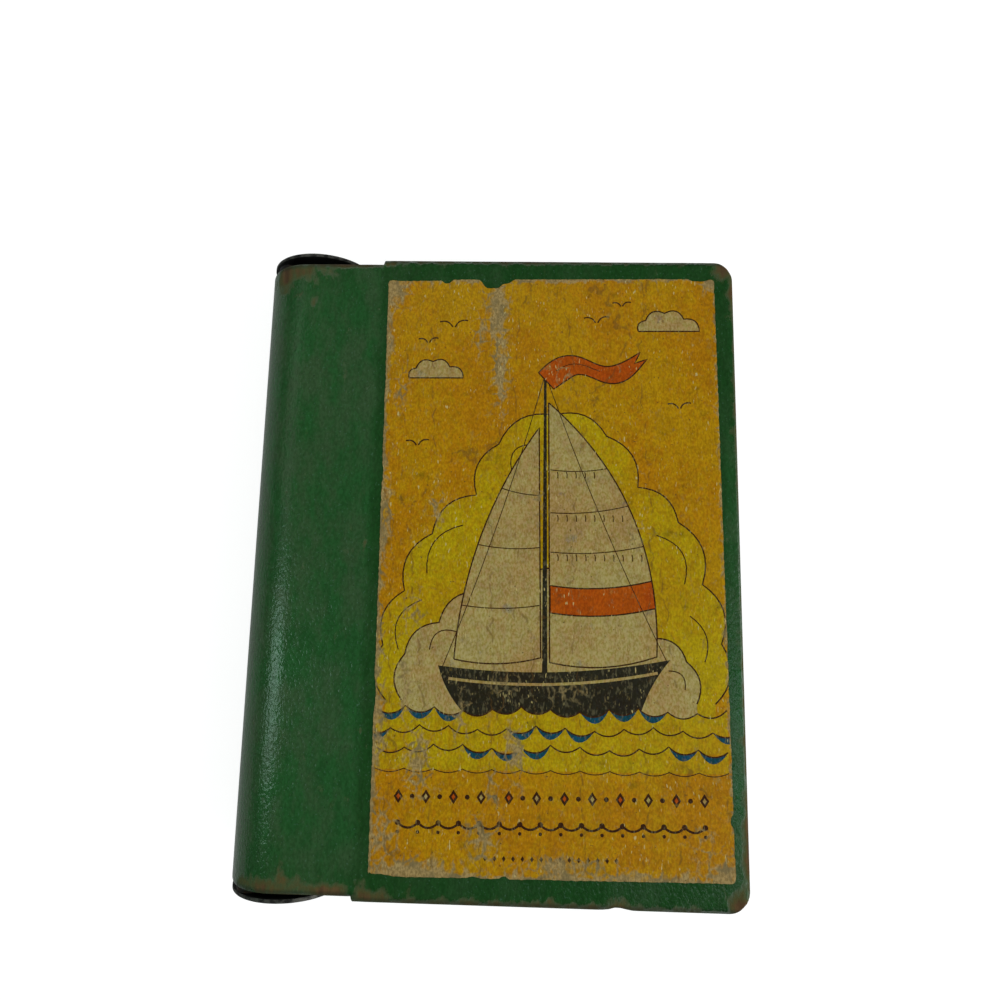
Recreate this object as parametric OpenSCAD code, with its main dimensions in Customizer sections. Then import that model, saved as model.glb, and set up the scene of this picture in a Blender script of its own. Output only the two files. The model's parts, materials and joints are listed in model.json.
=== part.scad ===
// Wooden block book: two thick painted boards that open like a book.
// A steel disc across each end of the spine holds the boards on two pivot nails.
// The book lies on its back board: X runs from the spine to the fore edge, Y up the spine, Z up.

/* [Boards] */
// Height of the book, along its spine
book_h = 146; // [120:1:180]
// Width of the book, from its spine to its fore edge
book_w = 114.3; // [90:0.1:140]
// Thickness of each of the two boards
board_t = 12.55; // [10:0.05:16]
// Gap between the two closed boards
leaf_gap = 0.3; // [0.2:0.05:0.6]
// Radius of the corners at the fore edge, seen from the front
fore_corner_r = 3.5; // [1:0.1:8]
// Radius of the corners at the spine, seen from the front
spine_corner_r = 1.4; // [1:0.1:3.4]
// Radius of the eased edges round each board
edge_r = 0.8; // [0.3:0.1:1.5]

/* [End rabbets] */
// Depth of the rabbet that is cut across each end of a board for the disc
rabbet_d = 1.0; // [0.6:0.1:2.5]
// Room between the rim of the swinging disc and the shoulder of the rabbet
shoulder_clear = 2.3; // [0.5:0.1:4]

/* [Spine discs] */
// Thickness of the steel sheet
disc_t = 0.9; // [0.6:0.1:2]
// How far the rim of the disc stays inside the book's front and back faces
disc_inset = 0.2; // [0.1:0.05:1]
// Radius that the punch leaves round the outer edge of the disc
punch_r = 0.3; // [0.1:0.05:0.5]

/* [Pivot nails and washers] */
// Diameter of the nail's shank
nail_d = 1.8; // [1.2:0.1:3]
// Depth of the nail in the end grain, below the floor of the rabbet
nail_depth = 18; // [10:1:30]
// Length of the nail's point
point_l = 2.4; // [1:0.1:5]
// Diameter of the nail's head
head_d = 4; // [3:0.1:6]
// Height of the nail's head at its rim
head_rim_h = 0.3; // [0.2:0.05:0.6]
// Rise of the domed top of the head above its rim
head_dome_h = 0.4; // [0.2:0.05:1]
// Thickness of the washer that holds the disc off the wood
washer_t = 0.9; // [0.5:0.1:3]
// How far the rim of the washer stays inside the faces of the board
washer_inset = 2.75; // [2:0.05:3]
// Radial running clearance of the disc on the nail
pivot_clear = 0.06; // [0.02:0.01:0.1]
// Radial clearance of the washer on the nail
washer_clear = 0.1; // [0.05:0.01:0.3]
// Gap on each face of the disc, to the washer and to the head
face_gap = 0.1; // [0.05:0.01:0.2]
// Room that the two discs leave the boards to slide along the spine
end_play = 0.8; // [0:0.1:1.5]

/* [Cover label] */
// Thickness of the glued paper
label_t = 0.15; // [0.1:0.01:0.25]
// Margin of green paint between the spine and the label
label_spine_margin = 32.2; // [25:0.1:45]
// Margin of green paint at the fore edge
label_fore_margin = 3.7; // [2:0.1:12]
// Margin of green paint above the label
label_top_margin = 4.7; // [2:0.1:15]
// Margin of green paint below the label
label_bottom_margin = 5.7; // [2:0.1:15]
// Angle by which the label was glued askew
label_tilt = 0.6; // [0:0.01:1]
// Radius of the worn corners of the label
label_corner_r = 1.2; // [0.5:0.1:3]

/* [Hidden] */
$fn = 96;
enamel_green = "#2f5a32";
paper_yellow = "#c98f1c";
black_steel = "#1d1f1e";
bare_steel = "#7d7d7a";
// How far a cutting solid runs past the face that it cuts
cut = 1;
book_t = 2 * board_t + leaf_gap;
front_z = book_t / 2;
inner_z = leaf_gap / 2;
fore_x = book_w / 2;
spine_x = -fore_x;
end_y = book_h / 2;
// Each board's own nose turns about its nail
nose_r = board_t / 2;
nail_x = spine_x + nose_r;
nail_z = inner_z + nose_r;
nail_r = nail_d / 2;
head_r = head_d / 2;
// The closed book's spine is a half-round about the disc's centre, and the disc's rim is the furthest point
half_round_r = book_t / 2;
disc_r = half_round_r - disc_inset;
disc_x = spine_x + disc_r;
// The rabbet is as wide as the disc needs when it swings about either nail
disc_reach = norm([disc_x - nail_x, nail_z]) + disc_r;
shoulder_x = nail_x + disc_reach + shoulder_clear;
// The discs stand evenly about y = 0, and the boards have slid to the foot, so the top disc has all the play
board_y = -end_play / 2;
floor_y = end_y - rabbet_d;
disc_y = floor_y + washer_t + face_gap + end_play / 2;
head_y = disc_y + disc_t + face_gap;
washer_r = nose_r - washer_inset;
label_w = book_w - label_spine_margin - label_fore_margin;
label_h = book_h - label_top_margin - label_bottom_margin;
label_x = (label_spine_margin - label_fore_margin) / 2;
label_y = (label_bottom_margin - label_top_margin) / 2;

// Rectangle from x = 0 to x = x1 whose two far corners are rounded
module half_slab(x1, y0, y1, r) {
    translate([0, y0]) square([x1 - r, y1 - y0]);
    translate([0, y0 + r]) square([x1, y1 - y0 - 2 * r]);
    for (y = [y0 + r, y1 - r]) translate([x1 - r, y]) circle(r = r);
}

// Rectangle about x = 0 with its own corner radius on each side
module slab(half_w, y0, y1, left_r, right_r) {
    half_slab(half_w, y0, y1, right_r);
    mirror([1, 0]) half_slab(half_w, y0, y1, left_r);
}

// Cross-section of the front board, with the book's middle plane at y = 0
module board_section() {
    intersection() {
        union() {
            translate([disc_x, 0]) circle(r = half_round_r);
            translate([disc_x, 0]) square([fore_x - disc_x, half_round_r]);
        }
        union() {
            translate([nail_x, nail_z]) circle(r = nose_r);
            translate([nail_x, inner_z]) square([-nail_x, board_t]);
            half_slab(fore_x, inner_z, front_z, edge_r);
        }
    }
}

// Nail along +Z with the floor of the rabbet at z = 0, for the nail itself and for its hole
module nail_shank(top) {
    rotate_extrude()
        polygon([[0, -nail_depth], [nail_r, point_l - nail_depth], [nail_r, top], [0, top]]);
}

module nail_head() {
    rise_r = (head_r * head_r + head_dome_h * head_dome_h) / (2 * head_dome_h);
    rotate_extrude() {
        square([head_r, head_rim_h]);
        intersection() {
            translate([0, head_rim_h + head_dome_h - rise_r]) circle(r = rise_r);
            translate([0, head_rim_h / 2]) square([head_r, head_rim_h / 2 + head_dome_h]);
        }
    }
}

// How far the nail's head stands above the floor of the rabbet
function head_rise(end_side) = head_y - floor_y - end_side * board_y;

// Puts what stands on z = 0 on the floor of the rabbet: side +1 is the front board or the top end
module at_pivot(board_side, end_side) {
    translate([nail_x, board_y + end_side * floor_y, book_t / 2 + board_side * nail_z])
        rotate([-90 * end_side, 0, 0]) children();
}

// Board in the front place, with its rabbets and nail holes, about the middle plane and y = 0
module board() {
    difference() {
        intersection() {
            rotate([90, 0, 0]) linear_extrude(height = book_h, center = true) board_section();
            linear_extrude(height = front_z) slab(fore_x, -end_y, end_y, spine_corner_r, fore_corner_r);
            rotate([90, 0, 90]) linear_extrude(height = book_w, center = true)
                slab(end_y, inner_z, front_z, edge_r, edge_r);
        }
        for (side = [-1, 1])
            translate([spine_x - cut, side * floor_y - (side < 0 ? rabbet_d + cut : 0), -cut])
                cube([shoulder_x - spine_x + cut, rabbet_d + cut, front_z + 2 * cut]);
        translate([0, -board_y, -book_t / 2])
            for (side = [-1, 1]) at_pivot(1, side) nail_shank(cut);
    }
}

module front_board() {
    color(enamel_green) translate([0, board_y, book_t / 2]) board();
}

module back_board() {
    color(enamel_green) translate([0, board_y, book_t / 2]) mirror([0, 0, 1]) board();
}

module cover_label() {
    color(paper_yellow)
        translate([label_x, board_y + label_y, book_t])
            rotate([0, 0, label_tilt]) linear_extrude(height = label_t)
                slab(label_w / 2, -label_h / 2, label_h / 2, label_corner_r, label_corner_r);
}

// Disc with its inner face at y = disc_y, pierced for the two nails
module disc(end_side) {
    color(black_steel)
        difference() {
            translate([disc_x, end_side * disc_y, book_t / 2]) rotate([-90 * end_side, 0, 0])
                rotate_extrude() {
                    square([disc_r, disc_t - punch_r]);
                    square([disc_r - punch_r, disc_t]);
                    translate([disc_r - punch_r, disc_t - punch_r]) circle(r = punch_r);
                }
            for (side = [-1, 1])
                at_pivot(side, end_side) cylinder(h = head_rise(end_side) + cut, r = nail_r + pivot_clear);
        }
}

module top_disc() { disc(1); }

module bottom_disc() { disc(-1); }

module nail(board_side, end_side) {
    color(black_steel)
        at_pivot(board_side, end_side) {
            nail_shank(head_rise(end_side) + head_rim_h / 2);
            translate([0, 0, head_rise(end_side)]) nail_head();
        }
}

module washer(board_side, end_side) {
    color(bare_steel)
        at_pivot(board_side, end_side)
            difference() {
                cylinder(h = washer_t, r = washer_r);
                translate([0, 0, -cut]) cylinder(h = washer_t + 2 * cut, r = nail_r + washer_clear);
            }
}

front_board();
back_board();
cover_label();
top_disc();
bottom_disc();
nail(1, 1);  // front_nail_top
nail(1, -1);  // front_nail_bottom
nail(-1, 1);  // back_nail_top
nail(-1, -1);  // back_nail_bottom
washer(1, 1);  // front_washer_top
washer(1, -1);  // front_washer_bottom
washer(-1, 1);  // back_washer_top
washer(-1, -1);  // back_washer_bottom
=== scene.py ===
import json
import math

import bmesh
import bpy
import numpy as np
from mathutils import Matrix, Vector, geometry


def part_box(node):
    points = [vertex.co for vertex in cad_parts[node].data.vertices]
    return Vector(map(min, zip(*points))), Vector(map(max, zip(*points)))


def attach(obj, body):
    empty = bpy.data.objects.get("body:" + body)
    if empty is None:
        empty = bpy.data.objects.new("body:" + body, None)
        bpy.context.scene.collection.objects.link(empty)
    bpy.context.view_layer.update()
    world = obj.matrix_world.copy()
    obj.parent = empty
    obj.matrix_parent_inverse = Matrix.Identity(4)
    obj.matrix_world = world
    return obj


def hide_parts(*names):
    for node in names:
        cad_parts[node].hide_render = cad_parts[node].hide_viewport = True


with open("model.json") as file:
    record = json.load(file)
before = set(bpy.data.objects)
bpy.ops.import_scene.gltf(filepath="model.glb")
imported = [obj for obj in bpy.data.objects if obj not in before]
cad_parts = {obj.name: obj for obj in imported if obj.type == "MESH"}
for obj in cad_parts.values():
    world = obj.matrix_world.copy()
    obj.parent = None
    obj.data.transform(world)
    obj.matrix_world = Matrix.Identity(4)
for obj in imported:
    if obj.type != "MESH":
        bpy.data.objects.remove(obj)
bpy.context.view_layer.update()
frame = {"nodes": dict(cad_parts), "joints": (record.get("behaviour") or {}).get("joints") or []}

# The view and the room
# The book lies on its back on a pale table and is seen from close above its cover, as with a
# camera held in the hand. Large soft lamps stand round it, and three dim ones show in the gloss.
MM = 0.001
CAMERA_PLACE = (7.17 * MM, -9.75 * MM, 184.65 * MM)
CAMERA_TURN = (8.47, 1.495, 1.186)
FOCAL_SHARE = 0.7
SENSOR = 36.0
NEAREST_SEEN = 5 * MM
TABLE_HALF = 2.5
# Each lamp's place, width, height, watts and colour
LAMPS = {
    "lamp_fore_edge": ((0.95, -0.35, 0.5), 1.0, 1.0, 10.4, (1, 1, 1)),
    "lamp_head": ((-0.15, 1.05, 0.45), 1.0, 0.9, 9.2, (1, 1, 1)),
    "lamp_foot": ((0.25, -1.05, 0.45), 1.0, 0.9, 5.3, (1, 1, 1)),
    "lamp_spine": ((-0.43, -0.09, 0.465), 0.14, 0.19, 0.51, (0.68, 1.0, 0.87)),
    "lamp_sheen": ((-0.43, 0.21, 0.465), 0.34, 0.16, 0.14, (0.9, 1.0, 0.85)),
    "lamp_corner": ((0.283, -0.17, 0.78), 0.24, 0.12, 0.24, (0.78, 1.0, 0.95)),
}
ROOM_LEVEL = 0.12
# The walls fade out up to this sine of the angle above the horizon
WALL_TOP = 0.1
TABLE_GREY = 0.3
TABLE_LIFT = 0.83
GLOSS_LIFT = 0.15


def connect(tree, node, links):
    """Gives each named input of a node a value or an output."""
    for name, value in links.items():
        if isinstance(value, bpy.types.NodeSocket):
            tree.links.new(value, node.inputs[name])
        else:
            node.inputs[name].default_value = value


def shader_node(tree, kind, links=None, **settings):
    """Adds a node: settings are its properties, and links gives its inputs."""
    made = tree.nodes.new(kind)
    for name, value in settings.items():
        setattr(made, name, value)
    connect(tree, made, links or {})
    return made


def sums(tree, operation, first, second, third=0.0):
    """One step of arithmetic on numbers or outputs."""
    links = {0: first, 1: second, 2: third}
    return shader_node(tree, "ShaderNodeMath", links, operation=operation).outputs[0]


def soft_step(tree, value, low, high, to_low=0.0, to_high=1.0):
    """Smooth rise from to_low at low to to_high at high."""
    links = {"Value": value, "From Min": low, "From Max": high, "To Min": to_low, "To Max": to_high}
    made = shader_node(tree, "ShaderNodeMapRange", links, interpolation_type="SMOOTHSTEP")
    return made.outputs["Result"]


camera_data = bpy.data.cameras.new("view_camera")
camera_data.sensor_width = SENSOR
camera_data.lens = SENSOR * FOCAL_SHARE
camera_data.clip_start = NEAREST_SEEN
camera = bpy.data.objects.new("view_camera", camera_data)
camera.location = CAMERA_PLACE
camera.rotation_euler = [math.radians(turn) for turn in CAMERA_TURN]
bpy.context.collection.objects.link(camera)
bpy.context.scene.camera = camera
bpy.context.scene.view_settings.view_transform = "Standard"

for name, (place, width, height, watts, colour) in LAMPS.items():
    light = bpy.data.lights.new(name, "AREA")
    light.shape = "RECTANGLE"
    light.size = width
    light.size_y = height
    light.energy = watts
    light.color = colour
    lamp = bpy.data.objects.new(name, light)
    lamp.location = place
    lamp.rotation_euler = Vector(place).to_track_quat("Z", "Y").to_euler()
    bpy.context.collection.objects.link(lamp)

# The walls, near the horizon, also show in gloss
world = bpy.data.worlds.new("pale_room")
bpy.context.scene.world = world
world.use_nodes = True
tree = world.node_tree
tree.nodes.clear()
ray = shader_node(tree, "ShaderNodeLightPath")
way = shader_node(tree, "ShaderNodeTexCoord").outputs["Generated"]
up = shader_node(tree, "ShaderNodeSeparateXYZ", {0: way}).outputs["Z"]
walls = sums(tree, "MULTIPLY", ray.outputs["Is Glossy Ray"], soft_step(tree, up, WALL_TOP, 0.0))
shown = sums(tree, "MAXIMUM", ray.outputs["Is Camera Ray"], walls)
level = sums(tree, "MULTIPLY_ADD", shown, 1.0 - ROOM_LEVEL, ROOM_LEVEL)
white = shader_node(tree, "ShaderNodeBackground", {"Color": (1, 1, 1, 1), "Strength": level})
shader_node(tree, "ShaderNodeOutputWorld", {"Surface": white.outputs[0]})

table_mesh = bpy.data.meshes.new("table")
corners = np.array([(-1, -1, 0), (1, -1, 0), (1, 1, 0), (-1, 1, 0)]) * TABLE_HALF
table_mesh.from_pydata(corners, [], [(0, 1, 2, 3)])
table = bpy.data.objects.new("table", table_mesh)
bpy.context.collection.objects.link(table)
table_finish = bpy.data.materials.new("pale_table")
table_finish.use_nodes = True
tree = table_finish.node_tree
tree.nodes.clear()
ray = shader_node(tree, "ShaderNodeLightPath")
in_gloss = sums(tree, "MULTIPLY", ray.outputs["Is Glossy Ray"], GLOSS_LIFT)
lift = sums(tree, "MULTIPLY_ADD", ray.outputs["Is Camera Ray"], TABLE_LIFT, in_gloss)
matt = shader_node(tree, "ShaderNodeBsdfDiffuse", {"Color": (TABLE_GREY, TABLE_GREY, TABLE_GREY, 1)})
glow = shader_node(tree, "ShaderNodeEmission", {"Color": (1, 1, 1, 1), "Strength": lift})
both = shader_node(tree, "ShaderNodeAddShader", {0: matt.outputs[0], 1: glow.outputs[0]})
shader_node(tree, "ShaderNodeOutputMaterial", {"Surface": both.outputs[0]})
table_mesh.materials.append(table_finish)


# The two boards
# Each is a half-inch hardwood board, planed, with its spine edge rounded and a rabbet sawn across
# both ends, then dipped in green enamel. The enamel is rubbed through at the corners and edges.
EDGE_R = 0.8
FORE_CORNER_R = 4.6
SPINE_CORNER_R = 1.4
# A fore corner's cut fades out between these distances from the fore edge
CUT_FADE = (1.0, 12.0)
# Round the spine the easing of the ends comes down to this share, over this distance
SPINE_EASE = 0.35
EASE_FADE = 8.0
RABBET = 1.0
SHOULDER_FROM_SPINE = 30.02
SHOULDER_BLEND = 0.22
# The saw ran askew, by this much along X at the foot and at the head
SHOULDER_SHIFT = (-0.5, 0.3)
SHIFT_REACH = 6.0
COLUMN_STEP = 1.25
# Points across the half-round, the shoulder, an eased edge and the thickness
ROUND_POINTS = 18
SHOULDER_POINTS = 9
EASE_POINTS = 8
THICKNESS_POINTS = 7
# Points this near to each other are merged, and edges this short are dissolved
MERGED = 0.002
SLIVER = 0.0001
HOLE_R = 0.91
HOLE_SIDES = 32
HOLE_DEPTH = 18.0
POINT_LENGTH = 2.4
CUTTER_TOP = 2.0
# Distances below a board's end of its closer sections
DEPTHS = np.array([0, 0.04, 0.1, 0.19, 0.31, 0.46, 0.62, 0.8, 1.0, 1.3, 1.7, 2.2, 2.8, 3.5, 4.4, 5.5])
SHARP_ANGLE = math.radians(38)
FRONT_SEED = 22
BACK_SEED = 62
# Wear of the eased edges: mean depth, the most, and the depth and size of two ripples on it
WORN = 0.03
WORN_MOST = 0.2
BROAD_WEAR = (0.07, 9.0)
FINE_WEAR = (0.05, 2.6)
# An edge is where the normal leans off the axes, over this range, and round the spine only this
# near to an end. Its paint is rubbed by this much.
LEAN = (0.02, 0.2)
WORN_END = 1.2
EDGE_RUB = 0.5
# Long shallow hollows left by the plane: width and depth
HOLLOW = 7.0
HOLLOW_DEPTH = 0.03
# A dent's reach from the end, its roughness, the size of that and how far the paint is rubbed
DENT_REACH = 5.0
DENT_ROUGH = 0.35
DENT_GRAIN = 1.6
DENT_RUB = 0.7
# The paint of the sides is rubbed down to this depth below the outer face
RUBBED_DOWN = 4.5
# Hands have greyed the spine's side, and a sheen is painted by the fore edge: both are less this near
# to an end, and the greying fades this near to the label
HANDLED_AND_SHEEN_REACH = 14.0
HANDLED_BLEND = 3.0
# By the fore edge a painted sheen lightens the side, at this share, fading out between these heights
# up the board
SHEEN_BY_FORE_EDGE = 0.8
SHEEN_BELOW = (15.0, 40.0)
# The back board is greyed in clouds of this size
BACK_CLOUD = 60.0
# Dirt lies on the outer face this near to its ends
DIRT_REACH = 1.5
# Dents at an end: x, end, half width and depth
FRONT_DENTS = [(29.2, -1, 1.9, 0.62)]
BACK_DENTS = [(-10.0, 1, 1.8, 0.35), (38.0, -1, 1.4, 0.25)]
# Rubbed places on the outer face: x, y from the board's middle, half widths and strength
FRONT_RUBS = [
    (-51.2, 69.6, 2.6, 3.4, 0.85), (-50.7, 66, 2.2, 1.6, 0.5), (-45.5, 70.2, 8.5, 2.6, 0.52),
    (-43.8, 68.4, 2.2, 2.4, 0.6), (-43, 62, 0.8, 1.8, 0.5), (-47, 64.3, 1.0, 0.6, 0.5),
    (-36, 71.7, 12, 1.0, 0.78), (-25.6, 71.9, 2.4, 0.8, 0.66), (-46, -70.8, 9, 2.0, 0.6),
    (-41.5, -69.3, 3.2, 2, 0.48), (-43.2, -66, 0.9, 4.5, 0.42), (-33, -70.8, 5.5, 1.8, 0.85),
    (-23.0, -71.6, 6, 1.8, 0.6), (55.4, -71.4, 3.6, 2.8, 0.85), (55.8, 71.3, 2.8, 2.8, 0.8),
    (8, 72.8, 52, 0.95, 0.6), (56.8, 65, 1.5, 6, 0.66), (57.1, 40, 0.8, 30, 0.6),
    (57.1, -38, 0.7, 34, 0.6), (56.9, -58, 0.9, 17, 0.72), (28.9, -71.9, 1.6, 1.0, 0.75),
    (-28.4, 3.3, 0.4, 1.1, 0.6), (-27, -37, 0.5, 1.0, 0.6), (8, -72.7, 52, 1.2, 0.55),
    (-40, -71.9, 12, 0.5, 0.6), (-8.2, -71.6, 0.35, 1.0, 0.66), (0.3, -71.2, 0.3, 0.9, 0.62),
    (14.6, -71.4, 0.35, 0.9, 0.62), (-25.2, -68.6, 0.4, 1.4, 0.6),
]
BACK_RUBS = [
    (-52, 70, 5, 4, 0.7), (-50, -70, 6, 3, 0.7), (55, -71, 4, 4, 0.8), (55, 71, 4, 4, 0.8),
    (0, 72.7, 50, 0.6, 0.45), (57.1, 0, 0.7, 70, 0.5), (-20, 10, 9, 14, 0.3), (22, -30, 7, 10, 0.32),
    (30, 44, 5, 3, 0.34),
]
# The enamel's streaks have two greens, as new, and lighter where hands greyed the spine's side and
# where a sheen is painted by the fore edge
NEW_GREENS = ((0.0062, 0.042, 0.0064), (0.0074, 0.049, 0.008))
HANDLED_AND_SHEEN_GREENS = ((0.011, 0.064, 0.014), (0.013, 0.076, 0.017))
GREYED = (0.032, 0.066, 0.025)
PALE_SPOT = (0.075, 0.16, 0.11)
PIT = (0.006, 0.022, 0.007)
RUBBED_THIN = (0.064, 0.053, 0.012)
BARE_WOOD = ((0.055, 0.024, 0.008), (0.105, 0.056, 0.019))
# What dirt leaves of a colour
DIRTY = (0.42, 0.5, 0.45)
ENAMEL_IOR = 1.38

board_low, board_high = (np.array(corner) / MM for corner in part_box("front_board"))
disc_low, disc_high = (np.array(corner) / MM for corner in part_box("top_disc"))
label_low, label_high = (np.array(corner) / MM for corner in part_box("cover_label"))
hinge_x = frame["joints"][1]["pos_m"][0] / MM
middle_y = (board_low[1] + board_high[1]) / 2
middle_z = (disc_low[2] + disc_high[2]) / 2
disc_x = (disc_low[0] + disc_high[0]) / 2
disc_r = (disc_high[0] - disc_low[0]) / 2
# From here on, heights are from the plane between the two boards, and y from a board's middle
pivot_z = frame["joints"][1]["pos_m"][2] / MM - middle_z
fore_x = board_high[0]
end_y = board_high[1] - middle_y
face_z = board_high[2] - middle_z
inner_z = board_low[2] - middle_z
nose_r = (face_z - inner_z) / 2
shoulder_x = disc_low[0] + SHOULDER_FROM_SPINE


def rise(low, high, x):
    """Smooth rise from 0 at low to 1 at high: 3 t^2 - 2 t^3."""
    t = np.clip((x - low) / (high - low), 0, 1)
    return t * t * (3 - 2 * t)


def ripple(points, size, seed):
    """Smooth noise of about -1 to 1: sines along seeded ways, in three octaves, each halved."""
    rng = np.random.default_rng(seed)
    total = np.zeros(len(points))
    for octave in range(3):
        ways = rng.normal(size=(9, points.shape[1]))
        ways *= 2 * math.pi / size * 2 ** octave / np.linalg.norm(ways, axis=1)[:, None]
        phases = rng.uniform(0, 2 * math.pi, 9)
        total += np.sin(points @ ways.T + phases).sum(1) / 3 / 2 ** octave
    return np.tanh(total / 1.6)


def corner_cut(radius, depth):
    """How far a round corner stands back at a depth below the end: r - sqrt(r^2 - (r - depth)^2)."""
    left = np.clip(radius - depth, 0, radius)
    return radius - np.sqrt(radius ** 2 - left ** 2)


def board_section(inset, fore_cut, spine_cut, round_x, flat_x, turns):
    """Columns of one cross-section: x, upper z and lower z. inset shrinks the section evenly.

    The upper line is the half-round and then the flat face, the lower one the nose's quarter
    round and the flat inner face, and both end in the eased fore edge.
    """
    big = face_z - inset
    small = nose_r - inset
    # The first column is where the circle of the half-round meets the circle of the nose
    gap_x, gap_z = hinge_x - disc_x, pivot_z
    gap = math.hypot(gap_x, gap_z)
    along = (gap ** 2 + big ** 2 - small ** 2) / (2 * gap)
    first_x = disc_x + (along * gap_x - math.sqrt(big ** 2 - along ** 2) * gap_z) / gap
    ease = EDGE_R - inset
    x = np.concatenate([
        first_x + (disc_x - first_x) * round_x,
        disc_x + (fore_x - EDGE_R - disc_x) * flat_x,
        fore_x - EDGE_R + ease * np.sin(turns),
    ])
    upper = np.sqrt(np.clip(big ** 2 - np.minimum(x - disc_x, 0) ** 2, 0, None))
    lower = pivot_z - np.sqrt(np.clip(small ** 2 - np.minimum(x - hinge_x, 0) ** 2, 0, None))
    upper[-len(turns):] = face_z - EDGE_R + ease * np.cos(turns)
    lower[-len(turns):] = inner_z + EDGE_R - ease * np.cos(turns)
    lower[0] = upper[0]
    by_spine = 1 - rise(first_x, disc_x, x)
    by_fore_edge = rise(fore_x - CUT_FADE[1], fore_x - CUT_FADE[0], x)
    return x + spine_cut * by_spine - fore_cut * by_fore_edge, upper, lower


def sew(name, grids):
    """One mesh in metres from grids of points (rows, columns, 3) in mm, with its seams merged."""
    vertices, faces, start = [], [], 0
    for grid in grids:
        rows, columns = grid.shape[:2]
        ids = start + np.arange(rows * columns).reshape(rows, columns)
        corners = [ids[:-1, :-1], ids[:-1, 1:], ids[1:, 1:], ids[1:, :-1]]
        faces.append(np.stack(corners, -1).reshape(-1, 4))
        vertices.append(grid.reshape(-1, 3))
        start += rows * columns
    mesh = bpy.data.meshes.new(name)
    mesh.from_pydata(np.concatenate(vertices) * MM, [], np.concatenate(faces))
    work = bmesh.new()
    work.from_mesh(mesh)
    bmesh.ops.remove_doubles(work, verts=work.verts, dist=MERGED * MM)
    bmesh.ops.dissolve_degenerate(work, edges=work.edges, dist=SLIVER * MM)
    bmesh.ops.recalc_face_normals(work, faces=work.faces)
    work.to_mesh(mesh)
    work.free()
    return mesh


def board_mesh(name):
    """The front board: sections along Y, drawn closer near each end, and closed by a grid there."""
    round_x = 1 - np.cos(np.linspace(0, math.pi / 2, ROUND_POINTS))[:-1]
    width = fore_x - EDGE_R - disc_x
    shoulder = (shoulder_x - disc_x + SHOULDER_BLEND * np.linspace(-1, 1, SHOULDER_POINTS)) / width
    # The even columns leave room for the shoulder's own
    even = np.linspace(0, 1, round(width / COLUMN_STEP))
    even = even[np.abs(even - shoulder[SHOULDER_POINTS // 2]) > 1.2 * SHOULDER_BLEND / width]
    flat_x = np.sort(np.concatenate([even, shoulder]))[:-1]
    turns = np.linspace(0, math.pi / 2, EASE_POINTS)
    middle = np.linspace(-1, 1, round((2 * end_y - 2 * DEPTHS[-1]) / COLUMN_STEP) + 1)[1:-1]
    stations = [(-1, depth) for depth in DEPTHS] + [(0, share) for share in middle]
    stations += [(1, depth) for depth in DEPTHS[::-1]]
    share = np.linspace(0, 1, THICKNESS_POINTS)[:, None]
    uppers, lowers, fores = [], [], []
    for side, at in stations:
        depth = at if side else DEPTHS[-1]
        fore_cut = corner_cut(FORE_CORNER_R, depth)
        spine_cut = corner_cut(SPINE_CORNER_R, depth + RABBET)
        eased, sharp = (
            np.array(board_section(inset, fore_cut, spine_cut, round_x, flat_x, turns))
            for inset in (corner_cut(EDGE_R, depth), 0.0)
        )
        softened = 1 - (1 - SPINE_EASE) * rise(disc_x, disc_x - EASE_FADE, sharp[0])
        x, upper, lower = sharp + (eased - sharp) * softened
        end = end_y - RABBET * (1 - rise(-SHOULDER_BLEND, SHOULDER_BLEND, x - shoulder_x))
        shift = np.interp(side or at, (-1, 1), SHOULDER_SHIFT)
        x = x + shift * np.exp(-((x - shoulder_x) / SHIFT_REACH) ** 2)
        y = side * (end - depth) if side else at * (end - DEPTHS[-1])
        uppers.append(np.stack([x, y, upper], -1))
        lowers.append(np.stack([x, y, lower], -1))
        fores.append(lowers[-1][-1] + (uppers[-1][-1] - lowers[-1][-1]) * share)
    uppers, lowers, fores = np.array(uppers), np.array(lowers), np.array(fores)
    ends = [lowers[row] + (uppers[row] - lowers[row]) * share[:, None] for row in (0, -1)]
    return sew(name, [uppers, lowers, fores, *ends])


def turned(profile):
    """Grid of points of a profile of (radius, height) turned round the Z axis."""
    profile = np.array(profile, float)
    angles = np.linspace(0, 2 * math.pi, HOLE_SIDES + 1)
    radius, height = profile[:, :1], profile[:, 1:]
    return np.stack([radius * np.cos(angles), radius * np.sin(angles), height + 0 * angles], -1)


def drill(piece, side):
    """Cuts a nail's hole down from the floor of the rabbet: a long cylinder with a pointed end."""
    point_z = POINT_LENGTH - HOLE_DEPTH
    profile = [(0, CUTTER_TOP), (HOLE_R, CUTTER_TOP), (HOLE_R, point_z), (0, -HOLE_DEPTH)]
    across, up, down = np.moveaxis(turned(profile), -1, 0)
    grid = np.stack([hinge_x + across, side * (end_y - RABBET + down), pivot_z + up], -1)
    cutter = bpy.data.objects.new("nail_hole", sew("nail_hole", [grid]))
    bpy.context.collection.objects.link(cutter)
    cut = piece.modifiers.new("drill", "BOOLEAN")
    cut.object = cutter
    cut.solver = "EXACT"
    with_hole = piece.evaluated_get(bpy.context.evaluated_depsgraph_get())
    drilled = bpy.data.meshes.new_from_object(with_hole)
    piece.modifiers.clear()
    piece.data = drilled
    bpy.data.objects.remove(cutter)


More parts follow.
